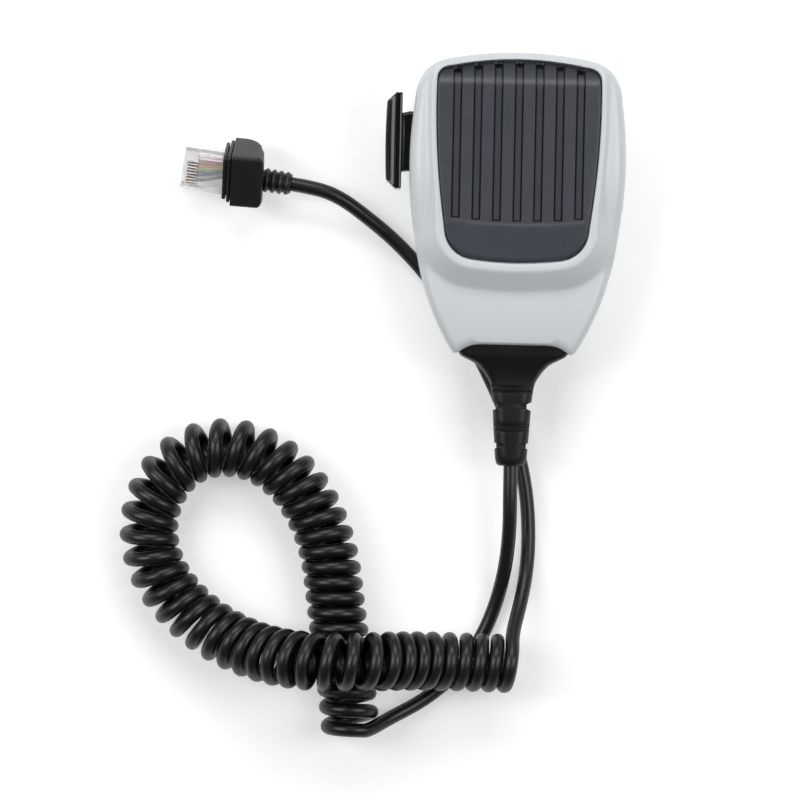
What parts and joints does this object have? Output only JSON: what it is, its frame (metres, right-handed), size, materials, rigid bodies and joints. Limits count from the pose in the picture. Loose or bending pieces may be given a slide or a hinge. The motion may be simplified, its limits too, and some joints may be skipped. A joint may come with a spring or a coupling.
{
  "type": "hand microphone",
  "caption": "Handheld radio microphone with grey case, slotted dark grille, side push-to-talk button, curly cord and modular plug.",
  "frame": {"origin": "centre of the hanger stud's outer face, on the back of the microphone", "axes": "+Z out through the grille, +Y towards the top of the case, away from the cord boot, +X to the right seen from the front, so the push-to-talk button is on -X"},
  "size_m": [0.1568, 0.217, 0.038],
  "materials": {
    "case_grey": "fine satin moulded ABS",
    "grille_dark": "fine spark-eroded texture, dark blue-grey",
    "button_black": "polished black ABS",
    "boot_rubber": "matte black elastomer",
    "cord_pvc": "soft satin black polyurethane jacket",
    "clear_plug": "clear polycarbonate",
    "contact_gold": "gold plated",
    "wire_colours": "eight coloured insulations",
    "felt_black": "thin acoustic cloth",
    "screw_steel": "zinc plated",
    "stud_chrome": "nickel plated",
    "spring_steel": "music wire",
    "capsule_metal": "bare can",
    "board_green": "solder mask over glass epoxy",
    "component_black": "moulded epoxy",
    "connector_white": "natural nylon",
    "clamp_steel": "pressed steel"
  },
  "bodies": {
    "microphone": {"front_case": "case_grey", "rear_case": "case_grey", "grille": "grille_dark", "grille_cloth": "felt_black", "case_screws": "screw_steel", "hanger_stud": "stud_chrome", "hanger_washer": "screw_steel", "hanger_screw": "screw_steel", "ptt_springs": "spring_steel", "ptt_switch": "component_black", "circuit_board": "board_green", "board_screws": "screw_steel", "preamp_chip": "component_black", "board_capacitors": "component_black", "board_resistors": "component_black", "board_connector": "connector_white", "hook_up_wires": "wire_colours", "cord_clamp": "clamp_steel", "clamp_screws": "screw_steel", "mic_capsule": "capsule_metal", "capsule_boot": "boot_rubber", "capsule_leads": "wire_colours", "cord_boot": "boot_rubber", "cord_inner_end": "cord_pvc", "cord_mic_lead": "cord_pvc", "cord_coil": "cord_pvc", "cord_plug_lead": "cord_pvc", "plug_body": "clear_plug", "plug_contacts": "contact_gold", "plug_wires": "wire_colours", "plug_hood": "boot_rubber"},
    "ptt_button": {"ptt_button": "button_black"},
    "switch_lever": {"switch_lever": "spring_steel"},
    "switch_plunger": {"switch_plunger": "connector_white"},
    "plug_latch": {"plug_latch": "clear_plug"}
  },
  "joints": [
    {"name": "ptt_press", "type": "slide", "parent": "microphone", "child": "ptt_button", "axis": [1, 0, 0], "range_m": [0, 0.0022], "stiffness_N_per_m": 900, "springref_m": -0.0022, "deforming": ["ptt_springs"]},
    {"name": "lever_swing", "type": "hinge", "parent": "microphone", "child": "switch_lever", "pos_m": [-0.0228, 0.0202, 0.0205], "axis": [0, 0, 1], "range_deg": [0, 14.2]},
    {"name": "plunger_press", "type": "slide", "parent": "microphone", "child": "switch_plunger", "axis": [1, 0, 0], "range_m": [0, 0.0011]},
    {"name": "latch_press", "type": "hinge", "parent": "microphone", "child": "plug_latch", "pos_m": [-0.10456, 0.00732, 0.00661], "axis": [-0.1183, -0.875, -0.4695], "range_deg": [0, 10], "stiffness_Nm_per_rad": 0.12}
  ],
  "couplings": [
    {"joint": "lever_swing", "follows": "ptt_press", "rad_per_m": 112.65},
    {"joint": "plunger_press", "follows": "ptt_press", "ratio": 0.5}
  ]
}
